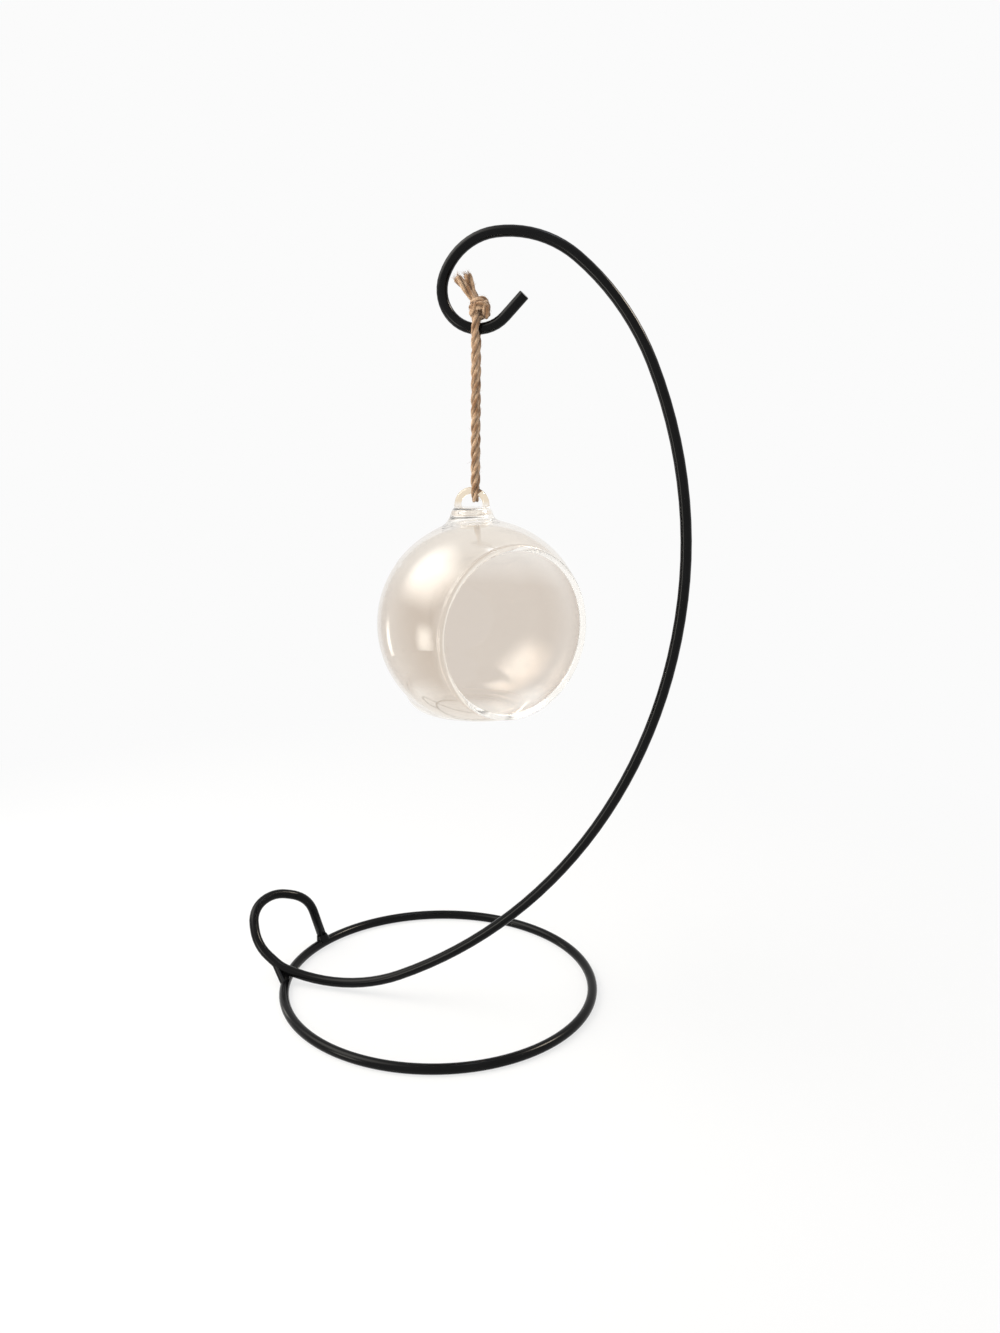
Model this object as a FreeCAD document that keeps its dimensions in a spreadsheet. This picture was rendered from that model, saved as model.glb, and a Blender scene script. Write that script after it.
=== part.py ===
"""Glass globe tealight holder hanging by a twine loop from a bent wire stand.

Millimetres. The origin is the centre of the foot ring, on the table. +Z is up, +X runs along the
plane of the bent arm towards its bulge, and -Y is the side that the globe's mouth faces.
"""
import FreeCAD, Part
import Sketcher
import math
import os

V = FreeCAD.Vector
UP = V(0, 0, 1)

doc = FreeCAD.newDocument("globe_tealight_holder")
sheet = doc.addObject("Spreadsheet::Sheet", "Sizes")

# Driving dimensions: alias, value, meaning. Lengths in mm, angles in degrees.
SIZES = [
    ("wire_dia", 4.2, "steel rod with its powder coat"),
    ("ring_radius", 67.4, "foot ring, to the middle of the rod"),
    ("arm_offset", 15.4, "plane of the arm, in front of the ring's centre"),
    ("arm_dip", 15.9, "slope of the rod where it crosses the ring"),
    ("sweep_radius", 73.0, "low sweep over the table"),
    ("sweep_turn", 42.2, "turn of the low sweep"),
    ("belly_radius", 204.0, "lower half of the crescent"),
    ("belly_turn", 59.7, "turn of the lower half"),
    ("back_radius", 180.0, "upper half of the crescent"),
    ("back_turn", 27.7, "turn of the upper half"),
    ("shoulder_radius", 98.0, "shoulder of the arm"),
    ("shoulder_turn", 27.3, "turn of the shoulder"),
    ("crown_radius", 42.0, "top of the arm"),
    ("crown_turn", 44.3, "turn of the top"),
    ("curl_radius", 23.0, "curl down into the hook"),
    ("curl_turn", 63.9, "turn of the curl"),
    ("hook_radius", 14.0, "cradle of the hook"),
    ("hook_turn", 157.2, "turn of the cradle"),
    ("tip_length", 10.4, "straight tip of the hook"),
    ("tip_round", 0.4, "softened edge of the cut tip"),
    ("weld_gap", 0.05, "fit-up gap between rods that are welded"),
    ("foot_spacing", 36.6, "from the arm's plane to the rod's rear end, across the ring"),
    ("end_bite", 0.9, "how deep the rod's coped end sits over the ring's crown"),
    ("loop_lead", 3.1, "straight lead from the crossing into the low loop"),
    ("loop_rear_out", 2.3, "loop's rear corner, out from the ring's left edge"),
    ("loop_rear_in", 0.4, "loop's rear corner, forward from the rod's rear end"),
    ("loop_rear_up", 14.6, "loop's rear corner, up from the crossing"),
    ("loop_bend_out", 5.9, "loop's upper rear corner, out from the ring's left edge"),
    ("loop_bend_in", 5.2, "loop's upper rear corner, forward from the rod's rear end"),
    ("loop_bend_up", 20.6, "loop's upper rear corner, up from the crossing"),
    ("loop_crest_out", 15.1, "loop's highest corner, out from the ring's left edge"),
    ("loop_crest_in", 13.1, "loop's highest corner, forward from the rod's rear end"),
    ("loop_crest_up", 24.4, "loop's highest corner, up from the crossing"),
    ("loop_edge_out", 19.8, "loop's outermost corner, out from the ring's left edge"),
    ("loop_edge_in", 11.5, "loop's outermost corner, back from the arm's plane"),
    ("loop_edge_up", 20.6, "loop's outermost corner, up from the crossing"),
    ("loop_low_out", 13.7, "loop's low corner, out from the ring's left edge"),
    ("loop_low_in", 2.6, "loop's low corner, back from the arm's plane"),
    ("loop_low_up", 8.4, "loop's low corner, up from the crossing"),
    ("bead_radius", 1.4, "round of the front weld's edges"),
    ("bead_along_arm", 5.6, "front weld, length along the arm"),
    ("bead_along_ring", 6.4, "front weld, length along the ring"),
    ("collar_radius", 3.3, "rear weld, at the ring"),
    ("collar_height", 2.0, "rear weld, up the rod from the ring's crown"),
    ("collar_edge", 0.25, "rear weld's upper edge, proud of the rod"),
    ("twine_dia", 3.0, "three-ply jute twine"),
    ("twine_gap", 0.3, "free space between twine and what it goes round"),
    ("strand_spread", 4.4, "strands beside the hook's rod, from its middle"),
    ("strand_gap", 1.7, "strands' ends in the knot, from its middle"),
    ("strand_sink", 0.8, "strands' ends below the knot's middle"),
    ("strand_bend", 12.0, "bend of each strand between the knot and the hook's rod"),
    ("twine_turn", 10.0, "turn of the twine loop and the eye about the upright"),
    ("hang_shift", 0.8, "twine lies this far off the cradle's lowest point"),
    ("hang_drop", 59.4, "from the hook's rod to the glass arch, both at their middle"),
    ("knot_height", 8.6, "knot, over its height"),
    ("knot_width", 8.9, "knot, over its width"),
    ("knot_lift", 7.3, "middle of the knot above the middle of the hook's rod"),
    ("knot_shift", 1.2, "knot sits this far to the right of the strands"),
    ("tail_dia", 2.8, "cut tails of the twine at the knot"),
    ("tail_flare", 3.4, "frayed ends of the tails"),
    ("bowl_radius", 40.0, "outside of the blown bowl"),
    ("wall", 1.6, "glass wall"),
    ("mouth_radius", 31.6, "round mouth, to the middle of its rim"),
    ("rim_dia", 2.5, "fire-polished bead round the mouth"),
    ("mouth_turn", 52.4, "mouth's direction, turned forward from the arch's right end"),
    ("eye_shift", 1.3, "eye's crown lies this far to the left of the twine"),
    ("eye_lift", 0.3, "eye's crown lies this far above the middle of the twine's bend"),
    ("hollow_shift", 0.17, "hollow lies this far back in the bowl, so the glass is thicker at the mouth"),
    ("bowl_round", 4.2, "rounded edge of the bowl's own flat"),
    ("setback", 7.0, "eye and foot lie this far behind the bowl's middle"),
    ("eye_height", 10.7, "middle of the glass arch above the bowl's top"),
    ("arch_height", "=bowl_radius + eye_height", "middle of the glass arch above the bowl's middle"),
    ("flat_rise", 4.5, "flat foot above the lowest point of the bowl's sphere"),
    ("foot_depth", "=bowl_radius - flat_rise", "flat foot below the bowl's middle"),
    ("foot_radius", 16.4, "flat foot, to the middle of its rounded edge"),
    ("foot_round", 10.0, "rounded edge of the foot"),
    ("foot_lean", 10.0, "lean of the foot's side, outwards going up"),
    ("foot_height", 18.5, "foot, from its flat to where its side ends inside the bowl"),
    ("eye_radius", 5.4, "hanging eye, to the middle of its glass thread"),
    ("eye_dia", 2.6, "glass thread of the eye"),
    ("neck_base", 9.2, "neck where it grows out of the bowl"),
    ("neck_top", 7.2, "neck under the eye's hole"),
    ("neck_drop", 6.8, "top of the neck below the middle of the glass arch"),
    ("neck_height", "=arch_height - neck_drop", "top of the neck above the bowl's middle"),
    ("neck_round", 2.4, "round of the neck's shoulder"),
    ("neck_flare", 3.5, "concave flare from the bowl into the neck"),
]
size = {}
for row, (alias, value, meaning) in enumerate(SIZES, start=1):
    sheet.set("A%d" % row, meaning)
    sheet.set("B%d" % row, str(value))
    sheet.setAlias("B%d" % row, alias)
doc.recompute()
for alias, value, meaning in SIZES:
    size[alias] = float(sheet.get(alias))


def bind(obj, **properties):
    """Tie properties of an object to expressions in the sheet."""
    for name, expression in properties.items():
        obj.setExpression(name, expression)


# Foot ring: one rod rolled to a circle and butt welded; it carries everything and lies on the table.
wire = size["wire_dia"] / 2
ring = doc.addObject("Part::Torus", "base_ring")
bind(ring, Radius1="Sizes.ring_radius", Radius2="Sizes.wire_dia / 2")
ring.setExpression("Placement.Base.z", "Sizes.wire_dia / 2")


# Arm: one rod, bent flat in the plane y = -arm_offset from the crossing to the tip. At its lower end
# it goes on past the crossing into a loop that leans out, and butts on the ring's crown behind it.
arm_y = -size["arm_offset"]
rear_y = arm_y + size["foot_spacing"]
crossing = V(-math.sqrt(size["ring_radius"] ** 2 - arm_y ** 2), arm_y,
             wire + (size["wire_dia"] + size["weld_gap"]) / math.cos(math.radians(size["arm_dip"])))
BENDS = ["sweep", "belly", "back", "shoulder", "crown", "curl", "hook"]


def heading(angle):
    return V(math.cos(angle), 0, math.sin(angle))


def arm_edges():
    """Tangent arcs from the crossing to the hook, then the straight tip."""
    edges = []
    spot = V(crossing)
    angle = -math.radians(size["arm_dip"])
    for bend in BENDS:
        radius = size[bend + "_radius"]
        turn = math.radians(size[bend + "_turn"])
        centre = spot + heading(angle + math.pi / 2) * radius
        middle = centre + heading(angle + turn / 2 - math.pi / 2) * radius
        end = centre + heading(angle + turn - math.pi / 2) * radius
        edges.append(Part.Arc(spot, middle, end).toShape())
        spot = end
        angle = angle + turn
    tip = spot + heading(angle) * size["tip_length"]
    edges.append(Part.LineSegment(spot, tip).toShape())
    return edges, centre, tip


def rounded_route(points, radii):
    """Straight runs joined by tangent arcs of the given radii, one for each inner point."""
    edges = []
    spot = points[0]
    for i, radius in enumerate(radii, start=1):
        back = points[i - 1] - points[i]
        ahead = points[i + 1] - points[i]
        half = (math.pi - back.getAngle(ahead)) / 2
        reach = radius * math.tan(half)
        back.normalize()
        ahead.normalize()
        inward = (back + ahead).normalize()
        start = points[i] + back * reach
        end = points[i] + ahead * reach
        middle = points[i] + inward * (radius / math.cos(half) - radius)
        if (start - spot).Length > 1e-6:
            edges.append(Part.LineSegment(spot, start).toShape())
        edges.append(Part.Arc(start, middle, end).toShape())
        spot = end
    edges.append(Part.LineSegment(spot, points[-1]).toShape())
    return edges


def widest_radii(points, shares):
    """The radii that use up the given share of the runs beside each inner point."""
    radii = []
    for i in range(1, len(points) - 1):
        back = points[i - 1] - points[i]
        ahead = points[i + 1] - points[i]
        half = (math.pi - back.getAngle(ahead)) / 2
        reach = min(back.Length * shares[i - 1], ahead.Length * shares[i])
        radii.append(reach / math.tan(half))
    return radii


def swept_rod(name, edges, radius_expression, start, direction):
    """A round section carried along tangent edges; the route and the section stay behind as objects."""
    route = doc.addObject("Part::Feature", name + "_route")
    route.Shape = Part.Wire(edges)
    section = doc.addObject("Part::Circle", name + "_section")
    section.setExpression("Radius", radius_expression)
    section.Placement = FreeCAD.Placement(start, FreeCAD.Rotation(UP, direction))
    rod = doc.addObject("Part::Sweep", name + "_sweep")
    rod.Sections = [section]
    rod.Spine = (route, ["Edge%d" % (i + 1) for i in range(len(edges))])
    rod.Solid = True
    rod.Frenet = False
    return rod


def cut(name, base, tool):
    """One object less another."""
    result = doc.addObject("Part::Cut", name)
    result.Base = base
    result.Tool = tool
    return result


# Corners of the loop's route, from the rear end on the ring's crown to the crossing: out from the
# ring's left edge, across from the two feet, and up from the rod at the crossing.
ring_left = -size["ring_radius"]
rear_end = V(-math.sqrt(size["ring_radius"] ** 2 - rear_y ** 2), rear_y,
             size["wire_dia"] - size["end_bite"])
lead = crossing - heading(-math.radians(size["arm_dip"])) * size["loop_lead"]


def loop_corner(name, base_y, sense):
    """A corner of the low loop: out from the ring's left edge, in from one of the rod's two feet, up."""
    return V(ring_left - size["loop_%s_out" % name], base_y + sense * size["loop_%s_in" % name],
             crossing.z + size["loop_%s_up" % name])


loop_corners = [
    rear_end,
    loop_corner("rear", rear_y, -1),
    loop_corner("bend", rear_y, -1),
    loop_corner("crest", rear_y, -1),
    loop_corner("edge", arm_y, 1),
    loop_corner("low", arm_y, 1),
    lead,
    V(crossing),
]
loop_radii = widest_radii(loop_corners, [0.45, 0.5, 0.5, 0.5, 0.5, 0.5, 0.95])
arm_path, hook_centre, tip_end = arm_edges()
loop_start = loop_corners[1] - loop_corners[0]
arm_rod = swept_rod("arm", rounded_route(loop_corners, loop_radii) + arm_path,
                    "Sizes.wire_dia / 2", rear_end, loop_start)
arm_coped = cut("arm_coped", arm_rod, ring)
doc.recompute()

arm = doc.addObject("Part::Fillet", "stand_arm")
arm.Base = arm_coped
tip_edges = []
for index, edge in enumerate(arm_coped.Shape.Edges, start=1):
    if (edge.CenterOfMass - tip_end).Length < size["wire_dia"] / 4:
        tip_edges.append((index, size["tip_round"], size["tip_round"]))
arm.Edges = tip_edges


# Front weld: a web of weld metal in the corner outside the crossing, between the arm's underside and
# the ring. Rear weld: a low collar round the rod's end on the ring's crown.
def rounded_web(corners, radius):
    """A triangle thickened by a ball of the given radius: plate, round edges and round corners."""
    normal = (corners[1] - corners[0]).cross(corners[2] - corners[0]).normalize()
    plate = Part.Face(Part.makePolygon(corners + [corners[0]]))
    plate.translate(normal * -radius)
    solid = plate.extrude(normal * (2 * radius))
    rounds = []
    for i, corner in enumerate(corners):
        side = corners[(i + 1) % len(corners)] - corner
        rounds.append(Part.makeSphere(radius, corner))
        rounds.append(Part.makeCylinder(radius, side.Length, corner, side))
    return solid.fuse(rounds)


def on_ring(angle):
    radius = size["ring_radius"]
    return V(radius * math.cos(angle), radius * math.sin(angle), wire)


crossing_angle = math.atan2(crossing.y, crossing.x)
web = doc.addObject("Part::Feature", "weld_front_web")
web.Shape = rounded_web([
    crossing - heading(-math.radians(size["arm_dip"])) * size["bead_along_arm"],
    on_ring(crossing_angle + size["bead_along_ring"] / size["ring_radius"]),
    (crossing + on_ring(crossing_angle)) / 2,
], size["bead_radius"])
weld_front = cut("weld_front", cut("weld_front_off_ring", web, ring), arm)

collar = doc.addObject("Part::Cone", "weld_rear_collar")
bind(collar, Radius1="Sizes.collar_radius", Radius2="Sizes.wire_dia / 2 + Sizes.collar_edge",
     Height="Sizes.collar_height + Sizes.end_bite")
loop_start.normalize()
collar.Placement = FreeCAD.Placement(rear_end, FreeCAD.Rotation(UP, loop_start))
weld_rear = cut("weld_rear", cut("weld_rear_off_ring", collar, ring), arm)


# Twine: one length, both ends in the knot. Its strands straddle the hook's rod, hang straight down
# and pass through the glass eye, round the arch. side is across the strands, level is up from the
# middle of the hook's rod.
cradle = hook_centre - UP * size["hook_radius"]
hang = V(cradle.x - size["hang_shift"], arm_y, cradle.z)
arch = hang - UP * size["hang_drop"]
across = V(-math.sin(math.radians(size["twine_turn"])), math.cos(math.radians(size["twine_turn"])), 0)
twine = size["twine_dia"] / 2
round_arch = size["eye_dia"] / 2 + twine + size["twine_gap"]
EIGHTH = math.tan(math.pi / 8)

strand = [
    (size["strand_gap"], size["knot_lift"] - size["strand_sink"]),
    (size["strand_spread"], wire + size["twine_gap"]),
    (round_arch, -size["hang_drop"] - round_arch * EIGHTH),
    (round_arch * EIGHTH, -size["hang_drop"] - round_arch),
]
twine_points = []
for side, level in strand:
    twine_points.append(hang - across * side + UP * level)
for side, level in reversed(strand):
    twine_points.append(hang + across * side + UP * level)
twine_radii = [size["strand_bend"]] + [round_arch] * 4 + [size["strand_bend"]]
twine_edges = rounded_route(twine_points, twine_radii)
twine_rod = swept_rod("twine", twine_edges, "Sizes.twine_dia / 2", twine_points[0],
                      twine_points[1] - twine_points[0])

# Knot, a barrel of three turned pieces, and the two cut tails, which lean up to the left inside the
# curl of the hook.
def turned_piece(name, base, radii, height):
    """A cone, or a cylinder where both radii are the same, standing on base."""
    piece = doc.addObject("Part::Cone", name)
    bind(piece, Radius1=radii[0], Radius2=radii[1], Height=height)
    piece.Placement.Base = base
    return piece


knot_spot = hang + V(size["knot_shift"], 0, size["knot_lift"])
third = size["knot_height"] / 3
WAIST = "Sizes.knot_width / 2"
END = "Sizes.knot_width * 0.3"
knot = doc.addObject("Part::MultiFuse", "twine_knot")
knot.Shapes = [
    turned_piece("knot_bottom", knot_spot - UP * (1.5 * third), (END, WAIST), "Sizes.knot_height / 3"),
    turned_piece("knot_waist", knot_spot - UP * (0.5 * third), (WAIST, WAIST + " * 0.999"),
                 "Sizes.knot_height / 3"),
    turned_piece("knot_top", knot_spot + UP * (0.5 * third), (WAIST + " * 0.999", END),
                 "Sizes.knot_height / 3"),
]
twine_loop = cut("twine_loop", twine_rod, knot)


def tail(name, foot, end):
    """A short cut end of twine, wider where its fibres have opened."""
    cone = doc.addObject("Part::Cone", name)
    bind(cone, Radius1="Sizes.tail_dia / 2", Radius2="Sizes.tail_flare / 2")
    cone.Height = (end - foot).Length
    cone.Placement = FreeCAD.Placement(knot_spot + foot, FreeCAD.Rotation(UP, end - foot))
    return cone


tails = doc.addObject("Part::MultiFuse", "tails_joined")
tails.Shapes = [
    tail("tail_left", V(-1.8, -0.9, 2.0), V(-8.6, -1.3, 10.4)),
    tail("tail_right", V(-0.6, 0.8, 2.4), V(-5.6, 1.4, 12.0)),
]
twine_tails = cut("twine_tails", tails, knot)


# Globe: blown in one piece. The bowl's middle lies off the upright through the eye and the foot, so
# that the globe hangs level with its mouth open to the front. Its own frame: origin in the crown of
# the eye, beside the twine, X towards the mouth.
along_arch = V(math.cos(math.radians(size["twine_turn"])), math.sin(math.radians(size["twine_turn"])), 0)
under_foot = -size["foot_depth"] - size["arch_height"]
globe = doc.addObject("PartDesign::Body", "glass_globe")
globe.Placement = FreeCAD.Placement(
    arch - along_arch * size["eye_shift"] + UP * size["eye_lift"],
    FreeCAD.Rotation(UP, size["twine_turn"] - size["mouth_turn"]))


def sketch_on(role, name):
    """A sketch on one of the globe's own origin planes."""
    sketch = globe.newObject("Sketcher::SketchObject", name)
    plane = [feature for feature in globe.Origin.OriginFeatures if feature.Role == role][0]
    sketch.AttachmentSupport = [(plane, "")]
    sketch.MapMode = "FlatFace"
    return sketch


def dimension(sketch, constraint, expression):
    """A driving constraint bound to the sheet."""
    index = sketch.addConstraint(constraint)
    sketch.setExpression("Constraints[%d]" % index, expression)


def line(start, end):
    return Part.LineSegment(V(*start, 0), V(*end, 0))


def join(sketch, pairs):
    """Coincident ends: (geometry, end, geometry, end), where 1 is a start, 2 an end, 3 a centre."""
    for pair in pairs:
        sketch.addConstraint(Sketcher.Constraint("Coincident", *pair))


def bowl_profile(name, inset):
    """Half of the bowl beside its own upright axis, cut flat at the foot; inset is the wall or 0."""
    sketch = sketch_on("YZ_Plane", name)
    sketch.setExpression("AttachmentOffset.Base.z",
                         "Sizes.setback - %d * Sizes.hollow_shift" % inset)
    radius = size["bowl_radius"] - inset * size["wall"]
    depth = size["foot_depth"] - inset * size["wall"]
    z = -size["arch_height"]
    low = -math.asin(depth / radius)
    sketch.addGeometry([
        Part.ArcOfCircle(Part.Circle(V(0, z, 0), UP, radius), low, math.pi / 2),
        line((0, z + radius), (0, z - depth)),
        line((0, z - depth), (radius * math.cos(low), z - depth)),
    ], False)
    join(sketch, [(0, 2, 1, 1), (1, 2, 2, 1), (2, 2, 0, 1)])
    sketch.addConstraint(Sketcher.Constraint("PointOnObject", 0, 3, -2))
    sketch.addConstraint(Sketcher.Constraint("PointOnObject", 0, 2, -2))
    sketch.addConstraint(Sketcher.Constraint("Vertical", 1))
    sketch.addConstraint(Sketcher.Constraint("Horizontal", 2))
    dimension(sketch, Sketcher.Constraint("Radius", 0, radius),
              "Sizes.bowl_radius - %d * Sizes.wall" % inset)
    dimension(sketch, Sketcher.Constraint("DistanceY", 0, 3, -1, 1, -z), "Sizes.arch_height")
    dimension(sketch, Sketcher.Constraint("DistanceY", 1, 2, 0, 3, depth),
              "Sizes.foot_depth - %d * Sizes.wall" % inset)
    return sketch


def foot_profile(name, inset):
    """Half of the foot beside the eye's upright axis: a flat, a rounded edge and a leaning side."""
    sketch = sketch_on("YZ_Plane", name)
    radius = size["foot_round"] - inset * size["wall"]
    lean = math.radians(size["foot_lean"])
    x = size["foot_radius"]
    z = size["foot_round"] + under_foot
    top = size["foot_height"] + under_foot
    turn_x = x + radius * math.cos(lean)
    turn_z = z - radius * math.sin(lean)
    top_x = turn_x + (top - turn_z) * math.tan(lean)
    sketch.addGeometry([
        line((0, z - radius), (x, z - radius)),
        Part.ArcOfCircle(Part.Circle(V(x, z, 0), UP, radius), -math.pi / 2, -lean),
        line((turn_x, turn_z), (top_x, top)),
        line((top_x, top), (0, top)),
        line((0, top), (0, z - radius)),
    ], False)
    sketch.addConstraint(Sketcher.Constraint("Tangent", 0, 2, 1, 1))
    sketch.addConstraint(Sketcher.Constraint("Tangent", 1, 2, 2, 1))
    join(sketch, [(2, 2, 3, 1), (3, 2, 4, 1), (4, 2, 0, 1)])
    sketch.addConstraint(Sketcher.Constraint("Horizontal", 0))
    sketch.addConstraint(Sketcher.Constraint("Horizontal", 3))
    sketch.addConstraint(Sketcher.Constraint("Vertical", 4))
    sketch.addConstraint(Sketcher.Constraint("PointOnObject", 0, 1, -2))
    dimension(sketch, Sketcher.Constraint("Radius", 1, radius),
              "Sizes.foot_round - %d * Sizes.wall" % inset)
    dimension(sketch, Sketcher.Constraint("Angle", 2, math.pi / 2 - lean), "90 - Sizes.foot_lean")
    dimension(sketch, Sketcher.Constraint("DistanceX", -1, 1, 1, 3, x), "Sizes.foot_radius")
    dimension(sketch, Sketcher.Constraint("DistanceY", 1, 3, -1, 1, -z),
              "Sizes.arch_height + Sizes.foot_depth - Sizes.foot_round")
    dimension(sketch, Sketcher.Constraint("DistanceY", 3, 2, -1, 1, -top),
              "Sizes.arch_height + Sizes.foot_depth - Sizes.foot_height")
    return sketch


def turned(kind, name, sketch, axis):
    """A Revolution or a Groove through the full circle."""
    feature = globe.newObject("PartDesign::" + kind, name)
    feature.Profile = sketch
    feature.ReferenceAxis = (sketch, [axis])
    feature.Angle = 360
    sketch.Visibility = False
    doc.recompute()
    return feature


def rounded_edges(name, radius, wanted):
    """A fillet on each edge of the globe so far for which wanted(edge) holds."""
    before = globe.Tip
    names = []
    for index, edge in enumerate(before.Shape.Edges, start=1):
        if wanted(edge):
            names.append("Edge%d" % index)
    fillet = globe.newObject("PartDesign::Fillet", name)
    fillet.Base = (before, names)
    fillet.setExpression("Radius", radius)
    doc.recompute()
    return fillet


def lies_at(level):
    """A test for edges that lie flat at one level of the globe's own frame."""
    def wanted(edge):
        box = edge.BoundBox
        return abs(box.ZMin - level) < 0.01 and abs(box.ZMax - level) < 0.01
    return wanted


turned("Revolution", "bowl", bowl_profile("bowl_outline", 0), "V_Axis")
rounded_edges("bowl_flat_round", "Sizes.bowl_round", lies_at(under_foot))
turned("Revolution", "foot", foot_profile("foot_outline", 0), "V_Axis")

neck_outline = sketch_on("YZ_Plane", "neck_outline")
neck_low = size["bowl_radius"] - size["neck_flare"] - size["arch_height"]
neck_high = size["neck_height"] - size["arch_height"]
neck_outline.addGeometry([
    line((0, neck_low), (size["neck_base"], neck_low)),
    line((size["neck_base"], neck_low), (size["neck_top"], neck_high)),
    line((size["neck_top"], neck_high), (0, neck_high)),
    line((0, neck_high), (0, neck_low)),
], False)
join(neck_outline, [(0, 2, 1, 1), (1, 2, 2, 1), (2, 2, 3, 1), (3, 2, 0, 1)])
neck_outline.addConstraint(Sketcher.Constraint("Horizontal", 0))
neck_outline.addConstraint(Sketcher.Constraint("Horizontal", 2))
neck_outline.addConstraint(Sketcher.Constraint("Vertical", 3))
neck_outline.addConstraint(Sketcher.Constraint("PointOnObject", 0, 1, -2))
dimension(neck_outline, Sketcher.Constraint("DistanceX", 0, 1, 0, 2, size["neck_base"]),
          "Sizes.neck_base")
dimension(neck_outline, Sketcher.Constraint("DistanceX", 2, 2, 2, 1, size["neck_top"]),
          "Sizes.neck_top")
dimension(neck_outline, Sketcher.Constraint("DistanceY", 0, 1, -1, 1, -neck_low),
          "Sizes.arch_height - Sizes.bowl_radius + Sizes.neck_flare")
dimension(neck_outline, Sketcher.Constraint("DistanceY", 2, 2, -1, 1, -neck_high),
          "Sizes.arch_height - Sizes.neck_height")
turned("Revolution", "neck", neck_outline, "V_Axis")

rounded_edges("neck_shoulder", "Sizes.neck_round", lies_at(neck_high))

# Eye: a ring of glass thread drawn up from the neck. The twine goes through it, so it stands across
# the twine's own loop.
eye = globe.newObject("PartDesign::AdditiveTorus", "eye")
bind(eye, Radius1="Sizes.eye_radius", Radius2="Sizes.eye_dia / 2")
eye_axis = math.radians(size["mouth_turn"] + 90)
eye.Placement = FreeCAD.Placement(
    V(0, 0, -size["eye_radius"]),
    FreeCAD.Rotation(UP, V(math.cos(eye_axis), math.sin(eye_axis), 0)))
doc.recompute()

# The hollow, with the same flat and rounded floor as the outside.
turned("Groove", "bowl_hollow", bowl_profile("bowl_hollow_outline", 1), "V_Axis")
rounded_edges("floor_round", "Sizes.bowl_round - Sizes.wall", lies_at(under_foot + size["wall"]))
turned("Groove", "foot_hollow", foot_profile("foot_hollow_outline", 1), "V_Axis")

# Mouth: the bowl is cut off flat, and its edge is melted back to a round bead.
rim_place = "Sizes.setback + sqrt((Sizes.bowl_radius - Sizes.wall / 2) ^ 2 - Sizes.mouth_radius ^ 2)"
rim_x = size["setback"] + math.sqrt(
    (size["bowl_radius"] - size["wall"] / 2) ** 2 - size["mouth_radius"] ** 2)
mouth_outline = sketch_on("YZ_Plane", "mouth_outline")
mouth_outline.setExpression("AttachmentOffset.Base.z", rim_place)
mouth_outline.addGeometry([
    Part.Circle(V(0, -size["arch_height"], 0), UP, size["bowl_radius"]),
], False)
mouth_outline.addConstraint(Sketcher.Constraint("PointOnObject", 0, 3, -2))
dimension(mouth_outline, Sketcher.Constraint("DistanceY", 0, 3, -1, 1, size["arch_height"]),
          "Sizes.arch_height")
dimension(mouth_outline, Sketcher.Constraint("Radius", 0, size["bowl_radius"]), "Sizes.bowl_radius")
mouth = globe.newObject("PartDesign::Pocket", "mouth")
mouth.Profile = mouth_outline
mouth.Type = "ThroughAll"
mouth.Reversed = True
doc.recompute()

rim_outline = sketch_on("XZ_Plane", "rim_outline")
rim_outline.addGeometry([
    Part.Circle(V(rim_x, size["mouth_radius"] - size["arch_height"], 0), UP, size["rim_dia"] / 2),
], False)
rim_outline.addGeometry([
    line((0, -size["arch_height"]), (rim_x, -size["arch_height"])),
], True)
rim_outline.addConstraint(Sketcher.Constraint("Horizontal", 1))
rim_outline.addConstraint(Sketcher.Constraint("PointOnObject", 1, 1, -2))
rim_outline.addConstraint(Sketcher.Constraint("Vertical", 0, 3, 1, 2))
dimension(rim_outline, Sketcher.Constraint("Diameter", 0, size["rim_dia"]), "Sizes.rim_dia")
dimension(rim_outline, Sketcher.Constraint("DistanceX", -1, 1, 0, 3, rim_x), rim_place)
dimension(rim_outline, Sketcher.Constraint("DistanceY", 1, 2, -1, 1, size["arch_height"]),
          "Sizes.arch_height")
dimension(rim_outline, Sketcher.Constraint("DistanceY", 1, 2, 0, 3, size["mouth_radius"]),
          "Sizes.mouth_radius")
turned("Revolution", "rim", rim_outline, "Axis0")


# Every object is looked at before anything is written, then each piece goes to a file of its name.
PIECES = [ring, arm, weld_front, weld_rear, twine_loop, knot, twine_tails, globe]
doc.recompute()
broken = []
for obj in doc.Objects:
    if "Invalid" in obj.State or "Error" in obj.State:
        broken.append(obj.Name)
    elif hasattr(obj, "Shape") and obj.TypeId != "App::Origin":
        if obj.Shape.isNull() or not obj.Shape.isValid():
            broken.append(obj.Name)
if broken:
    raise RuntimeError("broken objects: " + ", ".join(broken))

print("twine corner radii:", [round(radius, 2) for radius in twine_radii])
print("arm corner radii in the low loop:", [round(radius, 1) for radius in loop_radii])
for rod, edges, section in [
    (twine_rod, twine_edges, math.pi * twine ** 2),
    (arm_rod, arm_rod.Spine[0].Shape.Edges, math.pi * wire ** 2),
]:
    length = sum(edge.Length for edge in edges)
    print(rod.Name, "length %.1f, volume %.1f, section times length %.1f" % (
        length, rod.Shape.Volume, section * length))
hang_level = globe.Placement.inverse().multVec(globe.Shape.CenterOfGravity)
print("globe's centre of mass from the upright through the eye:",
      round(hang_level.x, 2), round(hang_level.y, 2))

os.makedirs("parts", exist_ok=True)
for piece in PIECES:
    piece.Label = piece.Name
    solids = len(piece.Shape.Solids)
    print(piece.Label, "solids", solids, "volume %.1f" % piece.Shape.Volume)
    piece.Shape.exportStep("parts/%s.step" % piece.Label)
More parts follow.
